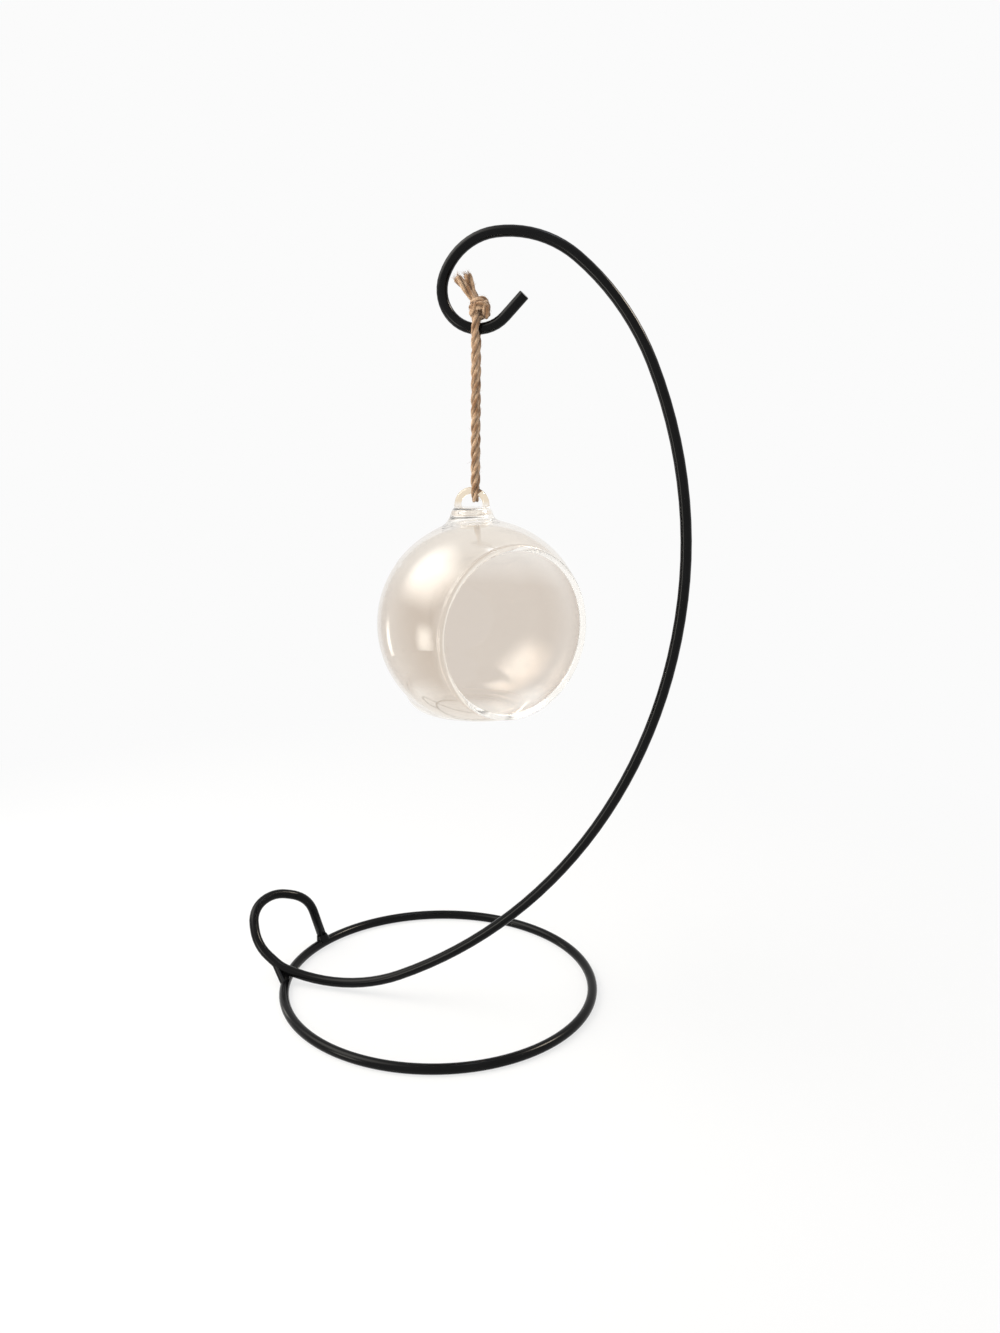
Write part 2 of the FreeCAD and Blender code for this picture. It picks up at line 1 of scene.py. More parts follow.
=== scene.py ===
"""Glass globe tealight holder: a blown globe on a jute loop, hung from a bent wire stand.

Lengths are in metres. The knot, the tails and the glass are worked out in millimetres first.
"""
import math

import bmesh
import bpy
import numpy as np
from mathutils import Matrix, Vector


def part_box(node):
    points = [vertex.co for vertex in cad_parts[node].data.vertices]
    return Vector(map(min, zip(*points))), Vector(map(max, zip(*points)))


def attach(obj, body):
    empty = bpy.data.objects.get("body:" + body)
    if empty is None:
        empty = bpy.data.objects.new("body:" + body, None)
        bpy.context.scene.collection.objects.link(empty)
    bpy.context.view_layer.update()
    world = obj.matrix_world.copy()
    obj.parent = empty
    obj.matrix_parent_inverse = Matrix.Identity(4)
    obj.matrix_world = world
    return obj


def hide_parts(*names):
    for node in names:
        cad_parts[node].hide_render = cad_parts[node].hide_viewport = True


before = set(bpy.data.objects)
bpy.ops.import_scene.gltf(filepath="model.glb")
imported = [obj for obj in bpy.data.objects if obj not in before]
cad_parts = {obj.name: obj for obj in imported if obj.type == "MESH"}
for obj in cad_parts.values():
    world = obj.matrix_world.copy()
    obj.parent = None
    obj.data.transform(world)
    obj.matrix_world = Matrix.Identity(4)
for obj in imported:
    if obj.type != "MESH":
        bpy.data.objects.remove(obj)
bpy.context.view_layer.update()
MM = 0.001

# Camera
# The photograph's own view: a little above the globe, turned 14 degrees, on a tall frame.
LENS = 29.53
SENSOR = 36.0
CAMERA_PLACE = (0.13176, -0.42231, 0.24273)
VIEW_YAW = math.radians(14.039)
VIEW_PITCH = math.radians(12.491)
VIEW_ROLL = math.radians(0.588)
camera = bpy.data.objects.new("camera", bpy.data.cameras.new("camera"))
camera.data.lens = LENS
camera.data.sensor_width = SENSOR
camera.matrix_world = (
    Matrix.Translation(CAMERA_PLACE)
    @ Matrix.Rotation(VIEW_YAW, 4, "Z")
    @ Matrix.Rotation(math.pi / 2 - VIEW_PITCH, 4, "X")
    @ Matrix.Rotation(VIEW_ROLL, 4, "Z")
)
bpy.context.scene.collection.objects.link(camera)
bpy.context.scene.camera = camera


# Jute twine loop
# One length of three-ply jute, about 3 mm thick, laid and unpolished, so short fibres stand off it.
# Both its ends are in the knot; its middle goes round the glass eye and hangs limp and straight.
TWINE_DIA = 3.0 * MM
TWINE_STEP = 0.45 * MM
PLIES = 3
PLY_SIDES = 14
PLY_RADIUS = 0.80 * MM
PLY_PLACE = 0.74 * MM
LAY_LENGTH = 15.0 * MM
FIBRE_RADIUS = 0.036 * MM
FIBRE_TAPER = np.array([0.0, 1.0, 0.85, 0.6, 0.0])
FIBRE_SIDES = 3
FIBRE_ROOT = 0.85
TWINE_TURN = math.radians(10.0)
TWINE_ROUTE = [
    (0.019934, -0.017074, 0.283586),
    (0.020403, -0.019733, 0.279486),
    (0.020339, -0.019368, 0.261500),
    (0.020241, -0.018818, 0.234400),
    (0.020177, -0.018453, 0.216402),
    (0.019862, -0.016665, 0.214586),
    (0.019416, -0.014135, 0.214586),
    (0.019101, -0.012347, 0.216402),
    (0.019037, -0.011982, 0.234400),
    (0.018939, -0.011432, 0.261500),
    (0.018875, -0.011067, 0.279486),
    (0.019344, -0.013726, 0.283586),
]
along_rod = np.array([math.cos(TWINE_TURN), math.sin(TWINE_TURN), 0.0])
chance = np.random.default_rng(7)


def unit(vectors):
    """Each vector divided by its length."""
    return vectors / np.linalg.norm(vectors, axis=-1, keepdims=True)


def way_along(line):
    """Each point's way along a line from its first point: the lengths before it, added up."""
    return np.concatenate([[0], np.cumsum(np.linalg.norm(np.diff(line, axis=0), axis=1))])


def smooth_line(points, step):
    """Points a step apart along the NURBS spline of order 3 that has the given control points."""
    data = bpy.data.curves.new("route", "CURVE")
    data.dimensions = "3D"
    spline = data.splines.new("NURBS")
    spline.points.add(len(points) - 1)
    for point, place in zip(spline.points, points):
        point.co = (*place, 1.0)
    spline.order_u = 3
    spline.use_endpoint_u = True
    spline.resolution_u = 24
    route = bpy.data.objects.new("route", data)
    mesh = bpy.data.meshes.new_from_object(route)
    line = np.array([vertex.co for vertex in mesh.vertices], float)
    bpy.data.meshes.remove(mesh)
    bpy.data.objects.remove(route)
    bpy.data.curves.remove(data)
    far = way_along(line)
    at = np.linspace(0, far[-1], max(2, int(far[-1] / step) + 1))
    return np.stack([np.interp(at, far, line[:, k]) for k in range(3)], axis=1), at


def grid_faces(rows, columns, closed_rows=False):
    """Quads of a grid of rows by columns whose columns, and rows if asked, join up round the piece."""
    row = np.arange(rows if closed_rows else rows - 1)[:, None]
    column = np.arange(columns)[None, :]
    ahead = (row + 1) % rows
    beside = (column + 1) % columns
    quads = np.stack([
        row * columns + column,
        row * columns + beside,
        ahead * columns + beside,
        ahead * columns + column,
    ], axis=-1)
    return quads.reshape(-1, 4)


def laid_plies(line, at, toward, spread=1.0, swell=1.0, phase=0.0, lay=LAY_LENGTH):
    """Plies laid round a line, as vertices, quads, places in the straightened ply, and painted shade,
    darker deeper in the grooves.

    Ply k's middle is line + place * (cos(a) n + sin(a) b), with a = 2 pi (at / lay + k / plies); its
    skin is a circle of the ply's radius across its own direction, wavy by a few hundredths of a mm,
    which closes to a point at both ends as sqrt(e (2 - e)), with e the way from the end in radii.
    """
    ahead = unit(np.gradient(line, axis=0))
    normal = unit(toward - (toward * ahead).sum(1)[:, None] * ahead)
    binormal = np.cross(ahead, normal)
    ply_place = PLY_PLACE * spread * np.ones(len(line))
    round_it = np.linspace(0, 2 * np.pi, PLY_SIDES, endpoint=False)[None, :]
    vertices, quads, straight, painted_shade = [], [], [], []
    for ply in range(PLIES):
        turn = phase + 2 * np.pi * (at / lay + ply / PLIES)
        out = np.cos(turn)[:, None] * normal + np.sin(turn)[:, None] * binormal
        middle = line + ply_place[:, None] * out
        heading = unit(np.gradient(middle, axis=0))
        side = unit(out - (out * heading).sum(1)[:, None] * heading)
        other = np.cross(heading, side)
        wave = 1 + 0.05 * np.sin(at / MM * 0.9 + ply * 2.1) + 0.03 * np.sin(at / MM * 2.3 + ply)
        from_end = np.clip(np.minimum(at, at[-1] - at) / PLY_RADIUS, 0, 1)
        radius = PLY_RADIUS * swell * wave * np.sqrt(from_end * (2 - from_end))
        ring = (np.cos(round_it)[..., None] * side[:, None, :]
                + np.sin(round_it)[..., None] * other[:, None, :])
        vertices.append((middle[:, None, :] + radius[:, None, None] * ring).reshape(-1, 3))
        quads.append(grid_faces(len(line), PLY_SIDES) + ply * len(line) * PLY_SIDES)
        own_stretch = (at / MM)[:, None] + ply * 37.0
        unrolled = np.broadcast_arrays(np.cos(round_it), np.sin(round_it), own_stretch)
        straight.append(np.stack(unrolled, axis=2).reshape(-1, 3))
        painted_shade.append((0.5 - 0.5 * (ring * out[:, None, :]).sum(2)).reshape(-1))
    return [np.concatenate(part) for part in (vertices, quads, straight, painted_shade)]


def stray_fibres(line, toward, count, longest, reach, lean=1.0, forward=False):
    """Short fibres off a cord: thin tubes along bent arcs, tapered and closed at both ends.

    Fibre i starts in the cord's skin, at the line plus its reach, and follows root + s grow + s^2 bend
    for s from 0 to its length. It leans along the cord by lean, either way or only forward.
    """
    pick = chance.uniform(0.02, 0.98, count) * (len(line) - 1)
    low = np.floor(pick).astype(int)
    root = line[low] + (pick - low)[:, None] * (line[low + 1] - line[low])
    ahead = unit(line[low + 1] - line[low])
    turn = chance.uniform(0, 2 * np.pi, count)
    normal = unit(toward[low] - (toward[low] * ahead).sum(1)[:, None] * ahead)
    out = np.cos(turn)[:, None] * normal + np.sin(turn)[:, None] * np.cross(ahead, normal)
    sense = chance.choice([1.0, 1.0] if forward else [-1.0, 1.0], count)[:, None]
    grow = unit(out * chance.uniform(0.25, 0.9, (count, 1)) + ahead * sense * lean)
    across = np.cross(grow, out) * chance.normal(0, 0.35, (count, 1))
    bend = across + out * chance.normal(0.1, 0.3, (count, 1))
    length = longest * chance.uniform(0.25, 1.0, count)[:, None, None]
    s = np.linspace(0, 1, len(FIBRE_TAPER))[None, :, None]
    arc = s * grow[:, None, :] + s ** 2 * bend[:, None, :]
    path = (root + out * reach * FIBRE_ROOT)[:, None, :] + length * arc
    first = unit(np.cross(grow, out + 0.01))
    second = np.cross(grow, first)
    corner = np.linspace(0, 2 * np.pi, FIBRE_SIDES, endpoint=False)[:, None]
    ring = np.cos(corner) * first[:, None, None, :] + np.sin(corner) * second[:, None, None, :]
    thick = (FIBRE_RADIUS * FIBRE_TAPER)[None, :, None, None]
    skin = path[:, :, None, :] + thick * ring
    in_fibre = len(FIBRE_TAPER) * FIBRE_SIDES
    one_fibre = grid_faces(len(FIBRE_TAPER), FIBRE_SIDES)
    quads = (one_fibre[None] + in_fibre * np.arange(count)[:, None, None]).reshape(-1, 4)
    straight = np.zeros((count * in_fibre, 3))
    straight[:, 2] = np.repeat(chance.uniform(0, 200, count), in_fibre)
    return skin.reshape(-1, 3), quads, straight, np.zeros(count * in_fibre)


def merge_doubles(mesh, apart, turn_outwards=False):
    """Vertices that lie closer than apart joined, and all faces turned outwards where asked."""
    work = bmesh.new()
    work.from_mesh(mesh)
    bmesh.ops.remove_doubles(work, verts=work.verts, dist=apart)
    if turn_outwards:
        bmesh.ops.recalc_face_normals(work, faces=work.faces)
    work.to_mesh(mesh)
    work.free()


def jute_piece(name, parts, node):
    """A jute piece in a CAD node's place, from parts of (vertices, quads, straight places, painted
    shade).
    """
    starts = np.cumsum([0] + [len(part[0]) for part in parts[:-1]])
    faces = np.concatenate([part[1] + start for part, start in zip(parts, starts)])
    vertices, straight, painted_shade = (np.concatenate([part[k] for part in parts]) for k in (0, 2, 3))
    mesh = bpy.data.meshes.new(name)
    mesh.from_pydata(vertices.tolist(), [], faces.tolist())
    place = mesh.attributes.new("straight", "FLOAT_VECTOR", "POINT")
    place.data.foreach_set("vector", straight.astype(np.float32).ravel())
    depth = mesh.attributes.new("painted_shade", "FLOAT", "POINT")
    depth.data.foreach_set("value", painted_shade.astype(np.float32))
    merge_doubles(mesh, 1e-7)
    mesh.polygons.foreach_set("use_smooth", [True] * len(mesh.polygons))
    mesh.materials.append(jute)
    piece = bpy.data.objects.new(name, mesh)
    bpy.context.scene.collection.objects.link(piece)
    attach(piece, "twine")
    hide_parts(node)
    return piece


def linear(code):
    """An sRGB hex colour as linear red, green, blue and alpha.

    A level c becomes c / 12.92 up to 0.04045, and ((c + 0.055) / 1.055) ^ 2.4 above it.
    """
    levels = [int(code[i:i + 2], 16) / 255 for i in (1, 3, 5)]
    return [level / 12.92 if level <= 0.04045 else ((level + 0.055) / 1.055) ** 2.4
            for level in levels] + [1.0]


def add(tree, kind, links=None, **settings):
    """A node of that kind, with its properties and unlinked inputs set and its linked inputs joined."""
    node = tree.nodes.new("ShaderNode" + kind)
    for name, value in settings.items():
        setattr(node, name, value)
    for name, value in (links or {}).items():
        if isinstance(value, bpy.types.NodeSocket):
            tree.links.new(value, node.inputs[name])
        else:
            node.inputs[name].default_value = value
    return node


def new_material(name):
    """An empty material with its output, as (material, node tree, output)."""
    material = bpy.data.materials.new(name)
    material.use_nodes = True
    material.node_tree.nodes.clear()
    return material, material.node_tree, material.node_tree.nodes.new("ShaderNodeOutputMaterial")


# Jute: bast fibre, spun and laid dry. Matt straw brown, with paler and darker streaks along each ply
# 0.2 to 0.3 mm wide and patches a few mm long. Shade is painted into the grooves between the plies.
# A colour Mix node has its factor at input 0, its colours at 6 and 7, and its result at output 2.
jute, tree, output = new_material("raw_jute")
straight = add(tree, "Attribute", attribute_name="straight")
painted_shade = add(tree, "Attribute", attribute_name="painted_shade")
along_fibre = add(tree, "Mapping", {"Vector": straight.outputs["Vector"], "Scale": (1.0, 1.0, 0.16)})
streaks = add(tree, "TexNoise", {"Vector": along_fibre.outputs["Vector"], "Scale": 4.2, "Detail": 5.0,
                                 "Roughness": 0.62})
patches = add(tree, "TexNoise", {"Vector": straight.outputs["Vector"], "Scale": 0.22, "Detail": 2.0})
tone = add(tree, "ValToRGB", {"Fac": streaks.outputs["Fac"]})
tone.color_ramp.elements[0].position = 0.28
tone.color_ramp.elements[0].color = linear("#846850")
tone.color_ramp.elements[1].position = 0.72
tone.color_ramp.elements[1].color = linear("#E3CAAD")
middle_tone = tone.color_ramp.elements.new(0.5)
middle_tone.color = linear("#C09F80")
patch_tone = add(tree, "ValToRGB", {"Fac": patches.outputs["Fac"]})
patch_tone.color_ramp.elements[0].position = 0.38
patch_tone.color_ramp.elements[0].color = linear("#BCA997")
patch_tone.color_ramp.elements[1].position = 0.60
patch_tone.color_ramp.elements[1].color = linear("#FFFFFF")
patched = add(tree, "Mix", {0: 1.0, 6: tone.outputs["Color"], 7: patch_tone.outputs["Color"]},
              data_type="RGBA", blend_type="MULTIPLY")
# Painted shade: the colour darkens the deeper a point lies in the grooves between the plies.
groove_shade = add(tree, "MapRange", {"Value": painted_shade.outputs["Fac"], "From Min": 0.15, "From Max": 0.8,
                                      "To Min": 1.0, "To Max": 0.42})
shaded_tone = add(tree, "Mix", {0: 1.0, 6: patched.outputs[2], 7: groove_shade.outputs["Result"]},
              data_type="RGBA", blend_type="MULTIPLY")
fibre_bump = add(tree, "Bump", {"Height": streaks.outputs["Fac"], "Strength": 0.55,
                                "Distance": 0.25 * MM})
jute_skin = add(tree, "BsdfPrincipled", {"Base Color": shaded_tone.outputs[2], "Roughness": 0.86,
                                         "Specular IOR Level": 0.25,
                                         "Normal": fibre_bump.outputs["Normal"],
                                         "Sheen Weight": 0.25, "Sheen Roughness": 0.5})
tree.links.new(jute_skin.outputs["BSDF"], output.inputs["Surface"])

# Where the twine bears on the glass eye its plies are pressed thinner and a little closer together.
# Its two strands are in the knot's shade for their first 1.5 mm, and out of it 2 mm further on.
EYE_BEARING = 5.0 * MM
PRESSED_THINNER = 0.18
PRESSED_CLOSER = 0.04
KNOT_SHADE = 0.9
loop_line, loop_at = smooth_line(TWINE_ROUTE, TWINE_STEP)
loop_toward = np.broadcast_to(along_rod, loop_line.shape)
from_eye = (loop_at - loop_at[-1] / 2) / EYE_BEARING
pressed = np.exp(-from_eye ** 2)
loop_plies = laid_plies(loop_line, loop_at, loop_toward, spread=1 - PRESSED_CLOSER * pressed,
                        swell=1 - PRESSED_THINNER * pressed)
# Painted shade: each strand is darkened over its first 1.5 mm into the knot.
from_knot = np.minimum(loop_at, loop_at[-1] - loop_at) / MM
in_knot = np.clip(1 - (from_knot - 1.5) / 2.0, 0, 1)
loop_plies[3] = np.maximum(loop_plies[3], KNOT_SHADE * np.tile(np.repeat(in_knot, PLY_SIDES), PLIES))
loop_fibres = stray_fibres(loop_line, loop_toward, 260, 1.9 * MM, TWINE_DIA / 2)
twine = jute_piece("jute_loop", [loop_plies, loop_fibres], "twine_loop")


# Overhand knot
# Both ends of the twine tied together above the hook's rod and drawn down to a ball about 9 mm across.
# Two turns lie over its crown, and two lobes below them leave a hollow for the strands, painted dark as
# shade.
KNOT_LAY = 13.0 * MM
KNOT_REACH = 2.95
KNOT_FILL = np.array([0.98, 1.14, 0.98])
KNOT_CORE = 0.62
KNOT_TURNS = [
    {"axis": (-0.22, -0.50, 0.84), "offset": 1.35, "start": 70, "middle": (0.0, 0.5, 0.1)},
    {"axis": (-0.30, -0.42, 0.86), "offset": -0.65, "start": 110, "middle": (0.0, 0.9, 0.0)},
    {"axis": (0.98, 0.05, 0.18), "offset": 2.20, "start": 95, "middle": (0.3, 1.3, -0.9)},
    {"axis": (-0.97, 0.12, 0.20), "offset": 2.45, "start": 100, "middle": (0.0, 1.9, -1.0)},
    {"axis": (-0.35, 0.90, 0.20), "offset": -1.60, "start": 60, "middle": (0.0, 0.0, 0.0)},
]
knot_low, knot_high = (np.array(corner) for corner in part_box("twine_knot"))
knot_middle = (knot_low + knot_high) / 2
knot_half = (knot_high - knot_low) / 2
beside_knot = np.array([0.965, 0.263, 0.0])
before_knot = np.array([0.263, -0.965, 0.0])
upright = np.array([0.0, 0.0, 1.0])
knot_frame = np.array([beside_knot, before_knot, upright])


def knot_turn(axis, offset, start, middle):
    """One turn on a ball: middle + offset a + r (cos t u + sin t v), with t over 372 degrees.

    Over the first and the last tenth of the turn it dives inwards, to half of its reach.
    """
    axis = unit(np.array(axis) @ knot_frame)
    first = unit(np.cross(axis, before_knot + 0.01))
    second = np.cross(axis, first)
    t = np.linspace(0, 1, 90)
    angle = np.radians(start + 372 * t)[:, None]
    dive = 1 - 0.5 * np.clip(1 - np.minimum(t, 1 - t) / 0.10, 0, 1)[:, None] ** 2
    wide = math.sqrt(KNOT_REACH ** 2 - offset ** 2)
    turned = offset * axis + wide * (np.cos(angle) * first + np.sin(angle) * second)
    return (np.array(middle) @ knot_frame + turned * dive) * MM


knot_lines = [knot_turn(**turn) for turn in KNOT_TURNS]
knot_parts = []
for index, line in enumerate(knot_lines):
    knot_parts.append(laid_plies(line, way_along(line), line, phase=index * 1.3, lay=KNOT_LAY))
knot_size = np.max([np.abs(part[0]).max(axis=0) for part in knot_parts], axis=0)
for part in knot_parts:
    part[0] = knot_middle + part[0] * (KNOT_FILL * knot_half / knot_size)
# A ball inside, painted dark as shade: (sin d cos a, sin d sin a, cos d) for a round it and d down it.
# It fills the gaps.
core_around = np.linspace(0, 2 * np.pi, 32, endpoint=False)[None, :]
core_down = np.linspace(0, np.pi, 20)[:, None]
core = np.stack([
    np.sin(core_down) * np.cos(core_around),
    np.sin(core_down) * np.sin(core_around),
    np.cos(core_down) * np.ones_like(core_around),
], axis=2).reshape(-1, 3)
knot_parts.append([knot_middle + core * knot_half * KNOT_CORE, grid_faces(20, 32)[:, ::-1], core * 4.0,
                   np.full(len(core), KNOT_SHADE)])
for line in (knot_lines[-1], knot_lines[0]):
    knot_parts.append(stray_fibres(knot_middle + line * 1.15, line, 70, 1.5 * MM, 1.2 * MM))
knot = jute_piece("jute_knot", knot_parts, "twine_knot")


# Cut tails
# The two cut ends, about 11 mm long, which lean up to the left. They lie together at the knot and
# spread to a brush at their tips, where the plies have opened into loose fibres.
TAIL_STEP = 0.3 * MM
TAIL_LAY = 30.0 * MM
BRUSH_POINTS = 14
TAILS = [
    [(-1.3, 0.5, 2.3), (-3.5, 0.6, 4.9), (-6.1, 0.4, 8.0), (-8.5, 0.0, 10.8)],
    [(-0.9, -0.4, 2.5), (-2.3, -0.6, 5.3), (-3.6, -0.7, 8.7), (-4.8, -0.7, 12.0)],
]
tail_parts = []
for index, corners in enumerate(TAILS):
    corners = [knot_middle + np.array(corner) @ knot_frame * MM for corner in corners]
    tail_line, tail_at = smooth_line(corners, TAIL_STEP)
    open_up = np.clip(tail_at / tail_at[-1], 0, 1) ** 2
    toward = np.broadcast_to(beside_knot, tail_line.shape)
    tail_parts.append(laid_plies(tail_line, tail_at, toward, spread=0.95 + 0.35 * open_up,
                                 swell=0.99 + 0.06 * open_up, phase=index * 1.9 + 0.4, lay=TAIL_LAY))
    tail_parts.append(stray_fibres(tail_line[-BRUSH_POINTS:], toward[-BRUSH_POINTS:], 240, 2.3 * MM,
                                   1.0 * MM, lean=2.4, forward=True))
    tail_parts.append(stray_fibres(tail_line, toward, 50, 1.6 * MM, 1.3 * MM))
tails = jute_piece("jute_tails", tail_parts, "twine_tails")


# Glass globe
# Blown soda-lime glass in one piece: a bowl with a flat foot, a round mouth whose edge is melted to a
# bead, and a drawn neck with an eye at the top. The wall is about 1.6 mm.
BOWL_RADIUS = 40.0
WALL = 1.6
MID_WALL = BOWL_RADIUS - WALL / 2
FLAT_DEPTH = 35.5
FLAT_BLEND = 3.0
FOOT_RADIUS = 16.4
FOOT_ROUND = 10.0
FOOT_LEAN = math.tan(math.radians(10.0))
FOOT_BLEND = 0.8
NECK_BASE = 9.2
NECK_TOP = 7.2
NECK_LOW = 36.5
NECK_HIGH = 43.9
NECK_ROUND = 2.4
NECK_LEAN = (NECK_BASE - NECK_TOP) / (NECK_HIGH - NECK_LOW)
NECK_BLEND = 3.0
SETBACK = 7.0
HOLLOW_SHIFT = 0.17
MOUTH_RADIUS = 31.6
MOUTH_TURN = math.radians(42.4)
BEAD = 1.25
BEAD_END = math.radians(140)
ARCH_HEIGHT = 50.7
EYE_RADIUS = 5.4
EYE_THREAD = 1.3
EYE_ROOT = 0.8
AROUND = 300
OUTSIDE, INSIDE = 0, 1
mouth_way = np.array([math.cos(MOUTH_TURN), -math.sin(MOUTH_TURN), 0.0])
mouth_side = np.array([math.sin(MOUTH_TURN), math.cos(MOUTH_TURN), 0.0])
eye_crown = np.array([18.3587, -15.6257, 217.986])
bowl_middle = eye_crown + mouth_way * SETBACK - upright * ARCH_HEIGHT


def ray_reach(inside, ways, far=90.0):
    """How far along each way from the middle the shape reaches, where inside(point) is below zero.

    The reach is halved 34 times between 0 and far, so it is exact to less than a thousandth of a mm.
    """
    low = np.zeros(ways.shape[:-1])
    high = np.full(ways.shape[:-1], far)
    for _ in range(34):
        half = (low + high) / 2
        within = inside(ways * half[..., None]) < 0
        low = np.where(within, half, low)
        high = np.where(within, high, half)
    return low


def rounded_cone(points, radius, level, lean, round_edge, up):
    """Distance to an upright cone's core, less its rounding: radius at a level, growing by lean.

    The core is the space at or above the level (below it where up is -1) and inside the leaning side.
    """
    beside = np.hypot(points[..., 0] + SETBACK, points[..., 1])
    above = (points[..., 2] - level) * up
    side = (beside - radius - lean * above) / math.hypot(1.0, lean)
    corner = np.hypot(beside - radius, above)
    foot_of_side = above + (beside - radius) * lean
    under = np.where(beside < radius, -above, np.where(foot_of_side < 0, corner, side))
    return np.where(above < 0, under, np.maximum(side, -above)) - round_edge


def blended(first, second, width):
    """The larger of two reaches, with a fillet of about that width where they cross."""
    return (first + second + np.sqrt((first - second) ** 2 + width ** 2)) / 2


def skin_reach(ways, face):
    """The globe's skin from the bowl's middle: the outer one, or the hollow's a wall further in.

    It is the smaller of the sphere and its flat, rounded where they cross, then the larger of that
    and the foot, and outside the larger of that and the neck. A way's third number is its rise: the
    flat and foot are met only on the way down, and the neck only on the way up.
    """
    rise = ways[..., 2]
    radius = BOWL_RADIUS - face * WALL
    flat = (FLAT_DEPTH - face * WALL) / np.maximum(-rise, 1e-6)
    sphere = (radius + flat - np.sqrt((radius - flat) ** 2 + (FLAT_BLEND - face) ** 2)) / 2
    sphere = np.where(rise < -0.2, np.minimum(sphere, radius), radius)
    foot = ray_reach(lambda points: rounded_cone(
        points, FOOT_RADIUS, -FLAT_DEPTH + FOOT_ROUND, FOOT_LEAN, FOOT_ROUND - face * WALL, 1.0), ways)
    reach = blended(sphere, np.where(rise < -0.30, foot, 0.0), FOOT_BLEND)
    if face == INSIDE:
        return reach
    neck = ray_reach(lambda points: rounded_cone(
        points, NECK_TOP - NECK_ROUND + NECK_LEAN * NECK_ROUND, NECK_HIGH - NECK_ROUND, NECK_LEAN,
        NECK_ROUND, -1.0), ways)
    return np.where(rise > 0.6, blended(reach, neck, NECK_BLEND), reach)


def crowded(count, low, high, peaks):
    """Count values from low to high, closer together near each (place, width, strength) peak."""
    fine = np.linspace(low, high, 4000)
    density = 1.0 + sum(strength * np.exp(-((fine - place) / width) ** 2)
                        for place, width, strength in peaks)
    total = np.concatenate([[0], np.cumsum((density[1:] + density[:-1]) / 2)])
    return np.interp(np.linspace(0, total[-1], count), total, fine)


def ways_from_back(angles):
    """Ways at each angle from the back pole, for every direction round the mouth's axis.

    A way is (-cos angle, sin angle cos around, sin angle sin around), along the mouth's way, its side
    and upwards.
    """
    return np.stack([
        -np.cos(angles)[:, None] * np.ones_like(around)[None, :],
        np.sin(angles)[:, None] * np.cos(around)[None, :],
        np.sin(angles)[:, None] * np.sin(around)[None, :],
    ], axis=2)


def skin_rows(angles, face):
    """Rows of the skin: its reach along each way, with the hollow a little further back."""
    ways = ways_from_back(angles)
    points = ways * skin_reach(ways, face)[..., None]
    points[..., 0] -= face * HOLLOW_SHIFT
    return points


def from_bowl(points):
    """Points along the mouth's way, its side and upwards from the bowl's middle, in the part's frame."""
    return (bowl_middle + points[:, :1] * mouth_way + points[:, 1:2] * mouth_side
            + points[:, 2:] * upright)


# Rows run from the back pole over the outer skin, round the bead at the mouth, and back over the
# hollow. They crowd at the rim and, outside, where the foot's and the neck's edges lie.
rim_angle = math.pi - math.atan2(MOUTH_RADIUS, math.sqrt(MID_WALL ** 2 - MOUTH_RADIUS ** 2))
skin_end = rim_angle - math.sqrt(BEAD ** 2 - (WALL / 2) ** 2) / MID_WALL
near_rim = (rim_angle, 0.1, 2.0)
near_edges = (1.40, 0.26, 2.2)
near_neck = (math.pi / 2, 0.30, 3.0)
around = crowded(AROUND + 1, -math.pi / 2, 1.5 * math.pi, [near_neck])[:-1]
outer_angles = crowded(128, 0.012, skin_end, [near_edges, near_rim])
inner_angles = crowded(96, 0.012, skin_end, [near_rim])[::-1]
bead_turn = np.linspace(BEAD_END, -BEAD_END, 26)[1:-1]
bead_reach = MID_WALL + BEAD * np.sin(bead_turn)
bead_rows = ways_from_back(rim_angle + BEAD * np.cos(bead_turn) / MID_WALL) * bead_reach[:, None, None]
rows = np.concatenate([skin_rows(outer_angles, OUTSIDE), bead_rows, skin_rows(inner_angles, INSIDE)])
poles = np.stack([rows[0].mean(axis=0), rows[-1].mean(axis=0)])
glass_points = np.concatenate([from_bowl(rows.reshape(-1, 3)), from_bowl(poles)])
first_pole = len(rows) * AROUND
last_row = first_pole - AROUND
column = np.arange(AROUND)
beside = (column + 1) % AROUND
back_fan = np.stack([np.full(AROUND, first_pole), beside, column], axis=1)
inner_fan = np.stack([np.full(AROUND, first_pole + 1), last_row + column, last_row + beside], axis=1)
bowl_mesh = bpy.data.meshes.new("blown_globe")
bowl_mesh.from_pydata((glass_points * MM).tolist(), [],
                      grid_faces(len(rows), AROUND).tolist() + back_fan.tolist() + inner_fan.tolist())
merge_doubles(bowl_mesh, 1e-7, turn_outwards=True)
globe = bpy.data.objects.new("blown_globe", bowl_mesh)
bpy.context.scene.collection.objects.link(globe)

# The eye: a thread of glass bent to a ring while hot, thicker where it runs into the neck. A point is
# middle + (radius + thread cos b) (sin a r + cos a up) + thread sin b side, for a round the ring from
# its crown and b round the thread.
EYE_STEPS = 96
THREAD_STEPS = 28
ring_turn = np.linspace(0, 2 * np.pi, EYE_STEPS, endpoint=False)[:, None]
thread_turn = np.linspace(0, 2 * np.pi, THREAD_STEPS, endpoint=False)[None, :]
thread = EYE_THREAD + EYE_ROOT * np.clip(-np.cos(ring_turn) + 0.25, 0, 1) ** 1.5
out_of_ring = np.sin(ring_turn) * along_rod + np.cos(ring_turn) * upright
eye_reach = EYE_RADIUS + thread * np.cos(thread_turn)
eye_points = (eye_crown - upright * EYE_RADIUS + out_of_ring[:, None, :] * eye_reach[..., None]
              + (thread * np.sin(thread_turn))[..., None] * np.cross(upright, along_rod))
eye_mesh = bpy.data.meshes.new("drawn_eye")
